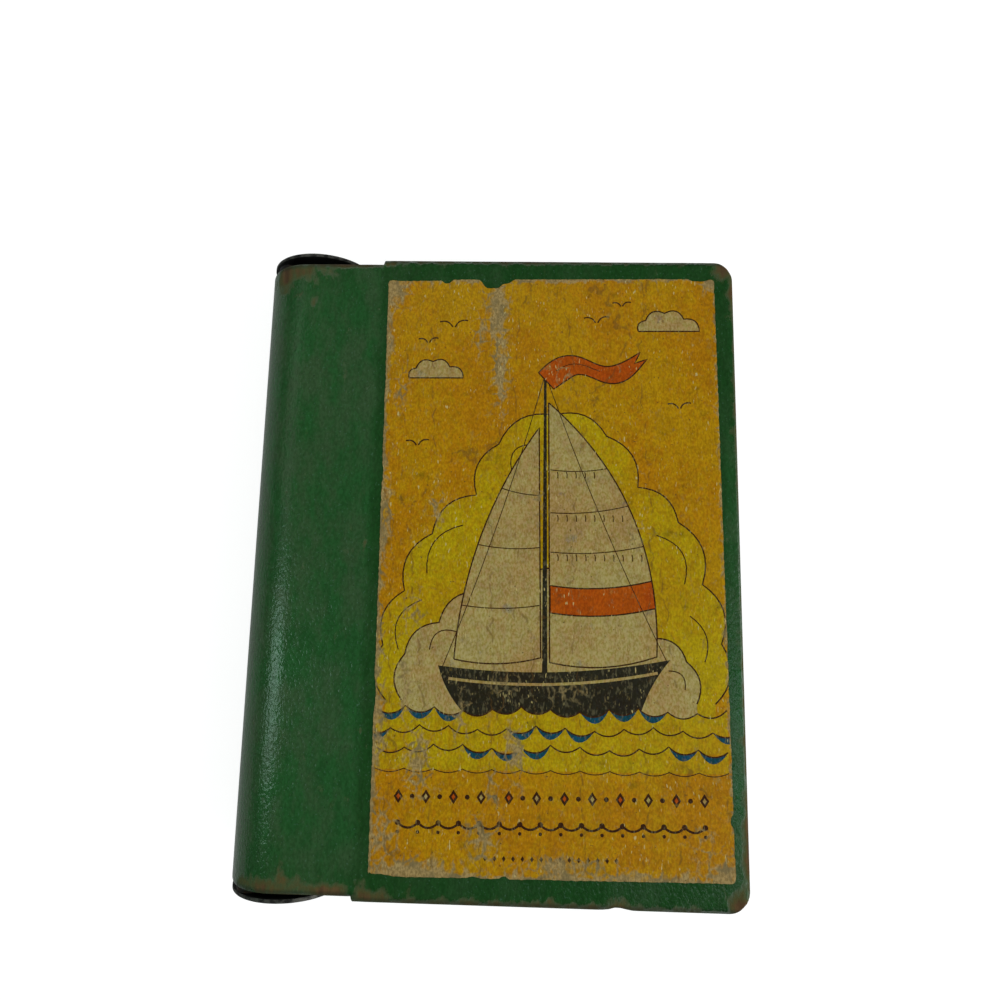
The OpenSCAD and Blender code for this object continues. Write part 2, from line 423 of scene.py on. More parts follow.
def board_piece(name, node, body, mirror, seed, dents, rubs):
    """Board with its nail holes and dents, and with attributes for rub, for greying by hands together
    with a painted sheen, and for grime.

    mirror is -1 for the back board. Wear stands the surface back along its normal, most at the
    eased edges, and a dent presses an end in along Y by depth exp(-((x - x0) / width)^2). A
    rubbed place is strength exp(-((x - x0) / half_x)^2 - ((y - y0) / half_y)^2).
    """
    piece = bpy.data.objects.new(name, board_mesh(name))
    bpy.context.collection.objects.link(piece)
    for side in (-1, 1):
        drill(piece, side)
    mesh = piece.data
    at = np.empty(len(mesh.vertices) * 3)
    normal = np.empty_like(at)
    mesh.vertices.foreach_get("co", at)
    mesh.vertex_normals.foreach_get("vector", normal)
    at = at.reshape(-1, 3) / MM
    normal = normal.reshape(-1, 3)
    x, y, z = at.T
    near_end = rise(WORN_END, 0, end_y - RABBET - np.abs(y))
    lean = rise(*LEAN, 1 - np.max(np.abs(normal), axis=1))
    edge = lean * np.maximum(x > disc_x, near_end)
    uneven = ripple(at, BROAD_WEAR[1], seed)
    fine = ripple(at, FINE_WEAR[1], seed + 1)
    push = edge * np.clip(WORN + BROAD_WEAR[0] * uneven + FINE_WEAR[0] * fine, 0, WORN_MOST)
    hollow = np.clip(0.5 + 0.5 * ripple(at * (1, 0.25, 1), HOLLOW, seed + 2), 0, 1) * HOLLOW_DEPTH
    open_face = (normal[:, 2] > 0.2) & (x < label_low[0] - 0.5)
    push += hollow * open_face * (1 - edge)
    push[np.hypot(x - hinge_x, z - pivot_z) < 1.2 * HOLE_R] = 0
    at -= normal * push[:, None]
    rub = EDGE_RUB * edge * np.clip(0.5 + 0.9 * uneven, 0.1, 1)
    # The outer face with the upper part of the sides, and all of the outer half of the nose
    straight = x > disc_x
    foot = np.where(straight, face_z - RUBBED_DOWN, pivot_z - 2)
    outer = rise(foot, np.where(straight, face_z - EDGE_R, pivot_z + 2), z)
    for dent_x, side, width, depth in dents:
        near = np.exp(-((x - dent_x) / width) ** 2) * rise(DENT_REACH, 0, end_y - np.abs(y))
        near *= np.sign(y) == side
        through = rise(inner_z + 3, face_z - 1, z)
        rough = 1 + DENT_ROUGH * ripple(at, DENT_GRAIN, seed + 3)
        at[:, 1] -= side * near * through * depth * rough
        rub = np.maximum(rub, DENT_RUB * near * through)
    for rub_x, rub_y, half_x, half_y, strength in rubs:
        far = ((x - rub_x) / half_x) ** 2 + ((y - rub_y) / half_y) ** 2
        rub = np.maximum(rub, strength * np.exp(-far) * outer)
    # Dirt lies along the ends of the outer face
    to_end = np.where(x < shoulder_x, end_y - RABBET, end_y) - np.abs(y)
    grime = outer * rise(0, 0.5, normal[:, 2]) * rise(DIRT_REACH, 0.4 * DIRT_REACH, to_end)
    at[:, 2] = middle_z + mirror * at[:, 2]
    at[:, 1] += middle_y
    if mirror < 0:
        mesh.flip_normals()
    mesh.vertices.foreach_set("co", (at * MM).ravel())
    handled_and_sheen = outer * (0.5 + 0.5 * rise(end_y - 1, end_y - HANDLED_AND_SHEEN_REACH, np.abs(y)))
    if mirror > 0:
        by_spine = rise(label_low[0] - 0.5, label_low[0] - HANDLED_BLEND, x)
        # By the fore edge the greens are lighter: this is a painted sheen, not wear
        by_fore_edge = SHEEN_BY_FORE_EDGE * rise(label_high[0] - 1, label_high[0] + 1, x)
        by_fore_edge *= rise(SHEEN_BELOW[1], SHEEN_BELOW[0], y)
        handled_and_sheen *= np.maximum(by_spine, by_fore_edge)
    else:
        handled_and_sheen *= np.clip(0.5 + 0.6 * ripple(at, BACK_CLOUD, seed + 4), 0, 1)
    for kept, values in (("rub", np.clip(rub, 0, 1)), ("handled_and_sheen", handled_and_sheen), ("grime", grime)):
        mesh.attributes.new(kept, "FLOAT", "POINT").data.foreach_set("value", values)
    mesh.shade_smooth()
    mesh.set_sharp_from_angle(angle=SHARP_ANGLE)
    mesh.update()
    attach(piece, body)
    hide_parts(node)
    return piece


def mix_colour(tree, share, first, second):
    """Colour between first and second by share, each a value or an output."""
    links = {0: share}
    for index, colour in ((6, first), (7, second)):
        links[index] = (*colour, 1.0) if isinstance(colour, tuple) else colour
    return shader_node(tree, "ShaderNodeMix", links, data_type="RGBA").outputs[2]


def scaled(tree, vector, factors):
    """A colour or a place times three factors."""
    links = {0: vector, 1: factors}
    return shader_node(tree, "ShaderNodeVectorMath", links, operation="MULTIPLY").outputs[0]


def stretched(tree, scale=(1, 1, 1), shift=0.0):
    """Object coordinates, moved by shift metres and scaled: under 1 draws a pattern out."""
    place = shader_node(tree, "ShaderNodeTexCoord").outputs["Object"]
    links = {"Vector": place, "Location": (shift,) * 3, "Scale": scale}
    return shader_node(tree, "ShaderNodeMapping", links).outputs[0]


def grain(tree, scale, stretch=(1, 1, 1), detail=4.0, rough=0.55, shift=0.0):
    """Noise of about 0.3 to 0.7 on object coordinates, drawn out where stretch is under 1."""
    place = stretched(tree, stretch, shift)
    links = {"Vector": place, "Scale": scale, "Detail": detail, "Roughness": rough}
    return shader_node(tree, "ShaderNodeTexNoise", links).outputs["Fac"]


def rough_skin(tree, height, distance, strength):
    """Bump from a height of 0 to 1 over distance in mm."""
    links = {"Height": height, "Distance": distance * MM, "Strength": strength}
    return shader_node(tree, "ShaderNodeBump", links).outputs[0]


def new_finish(name):
    """New material with its node tree and shader."""
    finish = bpy.data.materials.new(name)
    finish.use_nodes = True
    return finish, finish.node_tree, finish.node_tree.nodes["Principled BSDF"]


def attribute(tree, name, output="Fac"):
    """A mesh attribute's value, or its colour."""
    return shader_node(tree, "ShaderNodeAttribute", attribute_name=name).outputs[output]


def green_enamel():
    """Gloss enamel with a pebbled skin, greyed in clouds by hands, lightened by a painted sheen by
    the fore edge, and rubbed down to the wood.
    """
    finish, tree, paint = new_finish("green_enamel")
    rub = attribute(tree, "rub")
    handled_and_sheen = attribute(tree, "handled_and_sheen")
    grime = attribute(tree, "grime")
    streak = soft_step(tree, grain(tree, 700, (1, 0.2, 1), shift=0.3), 0.36, 0.64)
    cloud = grain(tree, 180, (1, 0.5, 1), 6.0, 0.68, 1.7)
    pebble = grain(tree, 1700, (1, 0.6, 1), 2.0, shift=5.0)
    as_new = mix_colour(tree, streak, *NEW_GREENS)
    # Lighter greens where hands greyed the spine's side, and by the fore edge as a painted sheen
    colour = mix_colour(tree, handled_and_sheen, as_new, mix_colour(tree, streak, *HANDLED_AND_SHEEN_GREENS))
    greyed = sums(tree, "MULTIPLY_ADD", handled_and_sheen, 0.48, 0.2)
    greyed = sums(tree, "MULTIPLY", greyed, soft_step(tree, cloud, 0.38, 0.66))
    colour = mix_colour(tree, greyed, colour, GREYED)
    dim = scaled(tree, colour, (0.84, 0.88, 0.84))
    bright = scaled(tree, colour, (1.16, 1.1, 1.2))
    colour = mix_colour(tree, soft_step(tree, pebble, 0.38, 0.62), dim, bright)
    spot = soft_step(tree, grain(tree, 2300, (1, 0.7, 1), 1.0, shift=4.0), 0.66, 0.76, 0.0, 0.3)
    colour = mix_colour(tree, spot, colour, PALE_SPOT)
    pit = soft_step(tree, grain(tree, 1500, detail=1.0, shift=7.0), 0.3, 0.24, 0.0, 0.6)
    colour = mix_colour(tree, pit, colour, PIT)
    # Rubbed places have ragged borders: thin paint, then bare wood where they are strongest
    ragged = grain(tree, 420, (1, 0.6, 1), 5.0, 0.62, 2.0)
    broken = sums(tree, "ADD", rub, sums(tree, "MULTIPLY_ADD", ragged, 1.3, -0.65))
    thin = soft_step(tree, broken, 0.14, 0.6)
    bare = soft_step(tree, broken, 0.46, 0.82)
    fibre = soft_step(tree, grain(tree, 700, (1, 0.1, 1), shift=8.0), 0.35, 0.65)
    wood = mix_colour(tree, fibre, *BARE_WOOD)
    colour = mix_colour(tree, sums(tree, "MULTIPLY", thin, 0.8), colour, RUBBED_THIN)
    colour = mix_colour(tree, sums(tree, "MULTIPLY", bare, 0.9), colour, wood)
    colour = mix_colour(tree, grime, colour, scaled(tree, colour, DIRTY))
    dulled = sums(tree, "MULTIPLY_ADD", thin, 0.8, soft_step(tree, cloud, 0.4, 0.68, 0.13, 0.24))
    skin = rough_skin(tree, sums(tree, "MULTIPLY_ADD", thin, -0.5, pebble), 0.12, 1.0)
    links = {"Base Color": colour, "Roughness": dulled, "IOR": ENAMEL_IOR, "Normal": skin}
    connect(tree, paint, links)
    return finish


enamel = green_enamel()
for board in (
    ("painted_front_board", "front_board", "front", 1, FRONT_SEED, FRONT_DENTS, FRONT_RUBS),
    ("painted_back_board", "back_board", "back", -1, BACK_SEED, BACK_DENTS, BACK_RUBS),
):
    board_piece(*board).data.materials.append(enamel)


# The cover label
# One sheet of paper, printed in flat inks with brown outlines, varnished, and glued a little askew
# on the front board. Its edges are torn, and the ink is rubbed off down to the tan paper.
LABEL_TILT = math.radians(0.6)
LABEL_CORNER_R = 1.2
LABEL_SEED = 7
GRID_STEP = 0.9
EDGE_STEP = 0.45
# Longest side of a printed shape, past which it is divided, and the shortest that is kept
SIDE = 1.2
SAME = 0.001
# Printed points this near to each other are one
MET = 1e-5
GROUND = (0.36, 0.18, 0.0006)
LEMON = (0.36, 0.24, 0.001)
CREAM = (0.32, 0.24, 0.062)
RED = (0.34, 0.06, 0.001)
TEAL = (0.004, 0.052, 0.066)
BLACK = (0.017, 0.015, 0.006)
BROWN = (0.034, 0.012, 0.002)
# Tears in the edge: side (0 foot, 1 fore edge, 2 head, 3 spine), place along it, half width, depth
TEARS = [
    (2, -32, 6.6, 0.3), (2, -24.8, 1.1, 0.9), (2, -14.2, 2.2, 2.2), (2, -10.9, 1.8, 1.1),
    (2, 35.5, 2.2, 0.6), (1, -55.2, 1.3, 0.6), (0, -38, 3.5, 0.5), (0, -16.5, 1.4, 0.35),
    (0, -10, 0.9, 0.5), (3, 20, 2.0, 0.25), (3, -30, 3.0, 0.3),
]
# The whole edge stands in by this much, and by two ripples: height and size of each
FRAYED = 0.15
BROAD_FRAY = (0.07, 7.0)
FINE_FRAY = (0.08, 1.6)
# Rubbed places: across, up, half widths and strength
LABEL_RUBS = [
    (-38.5, 65.5, 4.0, 5.0, 0.95), (-27, 67.5, 12, 1.2, 0.6), (-12.6, 60, 2.6, 8, 0.95),
    (-11.8, 46, 2.0, 10, 0.75), (-16.5, 54, 2.0, 5, 0.55), (-31, -12, 2.5, 6, 0.38),
    (-32, -28, 2.4, 8, 0.44), (-29, -44, 3.0, 8, 0.6), (-8, -42, 2.4, 7, 0.62),
    (-12.5, -50, 1.6, 5, 0.55), (-20, -35, 2.0, 5, 0.46), (-30, -67, 13, 2.8, 0.9),
    (-36, -59, 3, 7, 0.56), (37.5, -66, 5.5, 3.4, 0.75), (38.5, 66.5, 2.6, 2.2, 0.85),
    (-14.5, -60, 3.5, 5, 0.6), (4, -65, 12, 1.8, 0.6), (-26, 12, 2, 5, 0.46), (3, 44, 2, 3, 0.4),
    (-37.5, 10, 1.2, 9, 0.6), (-37.8, -36, 1.5, 10, 0.65), (-10, -27, 3.0, 2.4, 0.44),
    (4, -29, 5, 2.2, 0.38), (20, 6, 2, 4, 0.32), (-35, 40, 2, 6, 0.36), (33, -60, 3, 4, 0.4),
    (-3, 14, 1.5, 8, 0.36),
]
# Wear along the edges from the foot round by the fore edge: reach and strength
EDGE_WEAR = [(1.5, 0.75), (0.7, 0.55), (0.9, 0.8), (1.2, 0.9)]
# Its reach wanders by this share, in waves of this size
WANDER = 0.6
WANDER_SIZE = 9.0
# Shares of the paper's thickness that rubbing and its unevenness take off, and that one's size
RUBBED_OFF = 0.3
UNEVEN = 0.1
UNEVEN_SIZE = 3.0
# Widths of the printed lines
LINE = 0.33
FOLD_LINE = 0.27
GULL_LINE = 0.34
SEAM_LINE = 0.24
STAY_LINE = 0.2
CREASE_LINE = 0.18
WAVE_LINE = 0.32
SHORE_LINE = 0.22
# The drawing, in places across and up from the label's middle, from its two banks of cloud on
LEMON_CLOUD = [
    (-36.5, -31), (-37.5, -19), (-33, -7), (-27, 6), (-17, 15), (-12, 27), (1, 34), (13, 29),
    (20, 17), (29, 9), (34, -5), (37.8, -18), (36, -31),
]
CREAM_CLOUD = [
    (-33, -31), (-32.5, -21), (-25, -14), (-16, -7), (-5, -3), (6, -5), (15, -10), (23, -17),
    (30, -22), (32, -31),
]
CLOUD_FEET = (-38, -36)
# Folds in the clouds: start, stop and bulge
FOLDS = [
    ((-34, -20), (-29, -9), 0.25), ((-28, -3), (-20, 8), 0.22), ((-9, 21), (-4, 27), 0.3),
    ((24, 6), (30, -5), 0.25), ((31, -12), (34, -22), 0.2), ((-27, -20), (-21, -16), 0.3),
    ((26, -24), (29.5, -28), 0.3),
]
# Small clouds, then gulls: place and size
PUFFS = [((28, 54.5), 0.9), ((-27, 43), 0.8)]
GULLS = [
    ((-23, 56), 1.0), ((-29, 52), 0.7), ((11, 57), 0.9), ((17, 61), 0.65), ((30, 36), 0.8),
    ((-31, 27), 0.8),
]
# Corners of the two sails (head, clew and tack) and heights of their seams
MAINSAIL = [(-0.4, 37), (23.5, -21), (-0.2, -22.5)]
JIB = [(-2.6, 31), (-2.2, -21.5), (-21.5, -22)]
MAIN_SEAMS = (22, 12, 3)
JIB_SEAMS = (16, 4, -9)
# The mainsail's rows of reef ties: heights and spacing
REEF_TIES = (20.5, 10.5, 1.5)
REEF_STEP = 2.1
# Its red stripe's foot and top at the edge, and how much lower it is at the mast
STRIPE = (-12, -4)
STRIPE_DROP = 1.2
MAST = [(-1.9, -25), (-0.7, -25), (-0.9, 45.5), (-1.5, 45.5)]
MAST_HEAD = (-1.2, 44)
# Feet of the two stays, and their bulges
STAYS = [((-24, -23.6), 0.015), ((25.6, -21.9), -0.015)]
# Corners of the hull from the bow round by the stern, and the ends and width of its rail
HULL = [(-25, -23.4), (26.5, -21.6), (19, -35.5), (-17, -35.5)]
RAIL = [(-22.6, -26.2), (23.6, -24.5)]
RAIL_WIDTH = 0.6
# Rows of waves: height and shift. Then the reach of a row, the width of a wave, and the bulges
# of its rim and of the blue below it.
WAVE_ROWS = [(-32.6, 0.0), (-36.6, 3.2), (-40.6, 0.0)]
SEA_REACH = 38.4
WAVE = 6.4
WAVE_BULGE = -0.2
BLUE_BULGE = -0.42
SHORE = -45.4
SHORE_FOOT = -47.5
# Rows of ornaments: height, reach and spacing
DIAMONDS = (-51.2, 33, 3.0)
GARLANDS = (-56.6, 33, 4.4)
LOZENGES = (-63.6, 14, 2.0)
GARLAND_WIDTH = 0.5
SMALL_DIAMOND = 0.42
# Colours of the wear, from ink gone pale and the two of bare paper to specks; two of them are painted
# highlights, the varnish's sparkle on dark ink and its glints
PALE_INK = (0.27, 0.185, 0.045)
PAPER = ((0.2, 0.14, 0.052), (0.33, 0.235, 0.095))
PAPER_GRIME = (0.135, 0.11, 0.052)
# Painted highlights: the varnish's sparkle on dark ink, then its glints
PAINTED_INK_SPARKLE = (0.12, 0.105, 0.055)
PAINTED_GLINT = (0.47, 0.38, 0.15)
CRACK = (0.095, 0.048, 0.012)
SPECK = (0.06, 0.034, 0.012)
PAPER_SPECULAR = 0.08

tilt_x, tilt_y = math.cos(LABEL_TILT), math.sin(LABEL_TILT)
box_x, box_y = (label_high - label_low)[:2]
half_u = (box_x * tilt_x - box_y * tilt_y) / (tilt_x ** 2 - tilt_y ** 2) / 2
half_v = (box_y * tilt_x - box_x * tilt_y) / (tilt_x ** 2 - tilt_y ** 2) / 2


def arcs(points, bulge, steps=9):
    """Curve through points, each stretch bowed to the left: a + (b - a) t + 4 bulge n t (1 - t)."""
    points = np.array(points, float)
    t = np.linspace(0, 1, steps)[:-1, None]
    start, way = points[:-1, None], (points[1:] - points[:-1])[:, None]
    left = np.stack([-way[..., 1], way[..., 0]], -1)
    curve = start + way * t + 4 * bulge * left * t * (1 - t)
    return np.concatenate([curve.reshape(-1, 2), points[-1:]])


def beside(centre, width):
    """The two sides of a band along a curve: centre + n width / 2 and centre - n width / 2."""
    way = np.gradient(centre, axis=0)
    left = np.stack([-way[:, 1], way[:, 0]], -1) / np.linalg.norm(way, axis=1)[:, None]
    left *= np.broadcast_to(width, len(centre))[:, None] / 2
    return centre + left, centre - left


def spaced(outline):
    """The outline with points added so that no side is over SIDE, without sides of no length."""
    outline = np.array(outline, float)
    way = np.roll(outline, -1, axis=0) - outline
    pieces = np.ceil((np.linalg.norm(way, axis=1) - SAME) / SIDE).clip(0).astype(int)
    side = np.repeat(np.arange(len(outline)), pieces)
    share = (np.arange(len(side)) - (np.cumsum(pieces) - pieces)[side]) / pieces[side]
    return outline[side] + way[side] * share[:, None]


def label_outline():
    """Torn outline: a round-cornered rectangle whose points stand in by noise and by the tears."""
    width, height = 2 * half_u, 2 * half_v
    sides = [
        ((-half_u, -half_v), (1, 0), (0, 1), width), ((half_u, -half_v), (0, 1), (-1, 0), height),
        ((half_u, half_v), (-1, 0), (0, -1), width), ((-half_u, half_v), (0, -1), (1, 0), height),
    ]
    points = []
    for number, (start, way, inward, length) in enumerate(sides):
        # Each side has half of the round corner at each of its ends
        along = np.arange(0.3 * LABEL_CORNER_R, length - 0.3 * LABEL_CORNER_R, EDGE_STEP)
        run = start + along[:, None] * way
        place = run[:, number % 2]
        back = FRAYED + BROAD_FRAY[0] * ripple(run, BROAD_FRAY[1], LABEL_SEED + number)
        back += FINE_FRAY[0] * ripple(run, FINE_FRAY[1], LABEL_SEED + 9)
        for side, centre, half, depth in TEARS:
            if side == number:
                back += depth * np.exp(-((place - centre) / half) ** 4)
        back += corner_cut(LABEL_CORNER_R, np.minimum(along, length - along))
        points.append(run + back[:, None] * inward)
    return np.concatenate(points)


def at_height(curve, height):
    """The point of a curve that is nearest to a height."""
    return curve[np.argmin(np.abs(curve[:, 1] - height))]


def in_a_row(height, reach, spacing):
    """Evenly spaced places at one height, from -reach to reach."""
    return [(u, height) for u in np.arange(-reach, reach + 0.1, spacing)]


def printed_shapes():
    """The print in painter's order, as pairs of ink and polygon, with the ground first.

    A little ship on the sea stands before two banks of cloud, with gulls, over rows of ornaments.
    """
    shapes = [(GROUND, label_outline())]

    def fill(ink, *curves):
        shapes.append((ink, spaced(np.concatenate(curves))))

    def band(centre, width, ink):
        upper, lower = beside(np.array(centre, float), width)
        cells = np.stack([upper[:-1], upper[1:], lower[1:], lower[:-1]], 1)
        shapes.extend((ink, cell) for cell in cells)

    def line(points, width=LINE):
        band(points, width, BROWN)

    def outlined(ink, *curves):
        outline = spaced(np.concatenate(curves))
        fill(ink, outline)
        line(np.concatenate([outline, outline[:1]]))

    def cloud(ink, points, foot):
        top = arcs(points, 0.2)
        fill(ink, top, [(points[-1][0], foot), (points[0][0], foot)])
        line(top)

    cloud(LEMON, LEMON_CLOUD, CLOUD_FEET[0])
    cloud(CREAM, CREAM_CLOUD, CLOUD_FEET[1])
    for start, stop, bulge in FOLDS:
        line(arcs([start, stop], bulge), FOLD_LINE)
    for middle, size in PUFFS:
        puff = np.array([(-8, 0), (-6, 3), (-1, 5), (4, 3.4), (8, 0)]) * size + middle
        outlined(CREAM, arcs(puff, 0.28))
    for place, size in GULLS:
        wings = np.array([(-3.4, 0.9), (-0.3, -0.4), (0.3, -0.4), (3.4, 1.2)]) * size + place
        line(arcs(wings[:2], 0.22), GULL_LINE)
        line(arcs(wings[2:], 0.22), GULL_LINE)

    # Sails with reef ties, a red stripe and seams, then the stays, the mast and a forked streamer
    leech = arcs(MAINSAIL[:2], 0.12, 33)
    luff = arcs([JIB[2], JIB[0]], 0.07, 25)
    outlined(CREAM, leech, arcs(MAINSAIL[1:], 0.07))
    outlined(CREAM, luff, arcs(JIB[:2], 0), arcs(JIB[1:], 0.06))
    for height in REEF_TIES:
        for u in np.arange(1.6, at_height(leech, height)[0] - 1, REEF_STEP):
            tie = [(u, height), (u + 0.15, height - 0.7), (u + 0.1, height - 1.5)]
            line(tie, SEAM_LINE)
    stripe = leech[(leech[:, 1] < STRIPE[1]) & (leech[:, 1] > STRIPE[0])]
    stripe_foot = arcs([stripe[-1], (-0.1, stripe[-1, 1] - STRIPE_DROP)], 0.05)
    stripe_top = arcs([(-0.1, stripe[0, 1] - STRIPE_DROP), stripe[0]], -0.05)
    outlined(RED, stripe, stripe_foot, stripe_top)
    for height in MAIN_SEAMS:
        line(arcs([(0, height - 1), at_height(leech, height)], -0.04), SEAM_LINE)
    for height in JIB_SEAMS:
        line(arcs([at_height(luff, height), (-2.5, height - 1)], -0.04), SEAM_LINE)
    for foot, bulge in STAYS:
        line(arcs([MAST_HEAD, foot], bulge, 40), STAY_LINE)
    fill(BLACK, MAST)
    t = np.linspace(0, 1, 30)
    streamer = np.stack([-1 + 23 * t, 42.3 + 5.5 * t + 2.3 * np.sin(2.1 * math.pi * t)], -1)
    upper, lower = beside(streamer, 5.4 - 2.4 * t + 0.8 * np.sin(3.3 * math.pi * t))
    fork = streamer[-1] - (2.2, 1.9)
    outlined(RED, upper, [fork], lower[::-1])
    line(streamer[3:17] + (0, 0.4), CREASE_LINE)

    # The hull with its pale rail, and the rows of waves that it sits in
    bow = arcs([HULL[3], HULL[0]], 0.08)
    fill(BLACK, arcs(HULL[:2], -0.04, 17), arcs(HULL[1:3], -0.06), bow)
    band(arcs(RAIL, -0.04, 17), RAIL_WIDTH, CREAM)
    for row, (height, shift) in enumerate(WAVE_ROWS):
        tops = np.arange(-SEA_REACH - shift, SEA_REACH + 0.1 + shift, WAVE)
        crests = np.stack([tops, height + 0.5 * np.sin(1.7 * tops + row)], -1)
        rim = arcs(crests, WAVE_BULGE)
        fill(LEMON, rim, [(tops[-1], height - 5), (tops[0], height - 5)])
        # Three waves in seven are blue below
        for number in range(len(crests) - 1):
            if (5 * number + 3 * row) % 7 in (0, 3, 5):
                pair = crests[number:number + 2]
                fill(TEAL, arcs(pair, WAVE_BULGE), arcs(pair, BLUE_BULGE)[::-1])
        line(rim, WAVE_LINE)
    shore = arcs(in_a_row(SHORE, SEA_REACH, WAVE), -0.12)
    fill(GROUND, shore, [(SEA_REACH, SHORE_FOOT), (-SEA_REACH, SHORE_FOOT)])
    line(shore, SHORE_LINE)

    # Rows of ornaments: diamonds and dots, garlands over dots, and small lozenges
    diamond = np.array([(0, 1.5), (1.0, 0), (0, -1.5), (-1.0, 0)])
    eighths = np.arange(8) * math.pi / 4
    dot = np.stack([np.cos(eighths), np.sin(eighths)], -1)
    for number, place in enumerate(in_a_row(*DIAMONDS)):
        fill(BROWN, (dot * 0.55 if number % 2 else diamond) + place)
        if number % 2 == 0:
            fill(CREAM if number % 4 else RED, diamond * SMALL_DIAMOND + place)
    hooks = in_a_row(*GARLANDS)
    band(arcs(hooks, -0.24), GARLAND_WIDTH, BROWN)
    for hook in hooks:
        fill(BROWN, dot * 0.62 + hook)
        fill(BROWN, dot * 0.4 + hook - (0, 1.9))
    for place in in_a_row(*LOZENGES):
        fill(BROWN, diamond * SMALL_DIAMOND + place)
    return shapes


def label_rub(at):
    """How far the ink is rubbed: the most of the soft spots and of the wear near the edges."""
    rub = np.zeros(len(at))
    for u, v, wide, high, strength in LABEL_RUBS:
        spot = np.exp(-((at[:, 0] - u) / wide) ** 2 - ((at[:, 1] - v) / high) ** 2)
        rub = np.maximum(rub, strength * spot)
    wander = 1 + WANDER * ripple(at, WANDER_SIZE, LABEL_SEED + 20)
    gaps = (half_v + at[:, 1], half_u - at[:, 0], half_v - at[:, 1], half_u + at[:, 0])
    for gap, (reach, strength) in zip(gaps, EDGE_WEAR):
        rub = np.maximum(rub, strength * np.exp(-(np.clip(gap, 0, None) / reach / wander) ** 2))
    return rub


def covers(outline, points):
    """Which points are inside: a level line from one crosses the outline an odd number of times."""
    x, y = outline.T
    next_x, next_y = np.roll(x, -1), np.roll(y, -1)
    slope = (next_x - x) / np.where(next_y == y, 1, next_y - y)
    across, up = points[:, :1], points[:, 1:]
    crossed = ((y > up) != (next_y > up)) & (across < x + (up - y) * slope)
    return crossed.sum(1) % 2 == 1


def label_cells():
    """The print cut into triangles: their points, their corners and the last ink over each."""
    shapes = printed_shapes()
    lines_u = np.arange(-half_u, half_u, GRID_STEP)
    across, up = np.meshgrid(lines_u, np.arange(-half_v, half_v, GRID_STEP))
    groups = [np.stack([across.ravel(), up.ravel()], -1)] + [shape for ink, shape in shapes]
    starts = np.cumsum([len(group) for group in groups])
    sides = [start + np.stack([np.arange(size), np.roll(np.arange(size), -1)], -1)
             for start, size in zip(starts, map(len, groups[1:]))]
    flat = [Vector(point) for point in np.concatenate(groups)]
    found = geometry.delaunay_2d_cdt(flat, np.concatenate(sides).tolist(), [], 0, MET, False)
    at, faces = np.array([tuple(point) for point in found[0]]), np.array(found[2])
    centres = at[faces].mean(axis=1)
    top = np.full(len(faces), -1)
    for number, (ink, shape) in enumerate(shapes):
        near = np.flatnonzero(np.all((centres > shape.min(0)) & (centres < shape.max(0)), axis=1))
        top[near[covers(shape, centres[near])]] = number
    inside = covers(shapes[0][1], centres)
    used, faces = np.unique(faces[inside], return_inverse=True)
    return at[used], faces.reshape(-1, 3), np.array([shapes[number][0] for number in top[inside]])


def label_sheet():
    """The sheet: the print's triangles on its upper side, a copy below and a thin edge."""
    at, faces, inks = label_cells()
    count = len(at)
    # The border is the edges that only one face has
    ways = np.concatenate([faces[:, [0, 1]], faces[:, [1, 2]], faces[:, [2, 0]]])
    _, first, times = np.unique(np.sort(ways, axis=1), axis=0, return_index=True, return_counts=True)
    border = ways[first[times == 1]]
    rub = label_rub(at)
    thick = label_high[2] - label_low[2]
    uneven = 0.5 + 0.5 * ripple(at, UNEVEN_SIZE, LABEL_SEED + 30)
    relief = thick * (1 - RUBBED_OFF * rub - UNEVEN * uneven)
    place = at @ np.array([(tilt_x, tilt_y), (-tilt_y, tilt_x)]) + (label_low + label_high)[:2] / 2
    upper = np.column_stack([place, label_low[2] + relief])
    lower = np.column_stack([place, np.full(count, label_low[2])])
    walls = np.column_stack([border[:, ::-1], border + count])
    polygons = faces.tolist() + (faces[:, ::-1] + count).tolist() + walls.tolist()
    mesh = bpy.data.meshes.new("printed_label")
    mesh.from_pydata(np.concatenate([upper, lower]) * MM, [], polygons)
    below = np.tile(CREAM, (3 * len(faces) + 4 * len(walls), 1))
    colours = np.concatenate([np.repeat(inks, 3, axis=0), below])
    ink = mesh.attributes.new("ink", "FLOAT_COLOR", "CORNER")
    ink.data.foreach_set("color", np.column_stack([colours, np.ones(len(colours))]).ravel())
    mesh.attributes.new("rub", "FLOAT", "POINT").data.foreach_set("value", np.tile(rub, 2))
    return mesh


def edge_distance(tree, bent, stretch, scale):
    """Distance to the nearest edge of a net of cells, whose places are moved by the vector bent."""
    place = stretched(tree, stretch, 0.7)
    moved = shader_node(tree, "ShaderNodeVectorMath", {0: bent, 1: place}).outputs[0]
    links = {"Vector": moved, "Scale": scale}
    net = shader_node(tree, "ShaderNodeTexVoronoi", links, feature="DISTANCE_TO_EDGE")
    return net.outputs["Distance"]


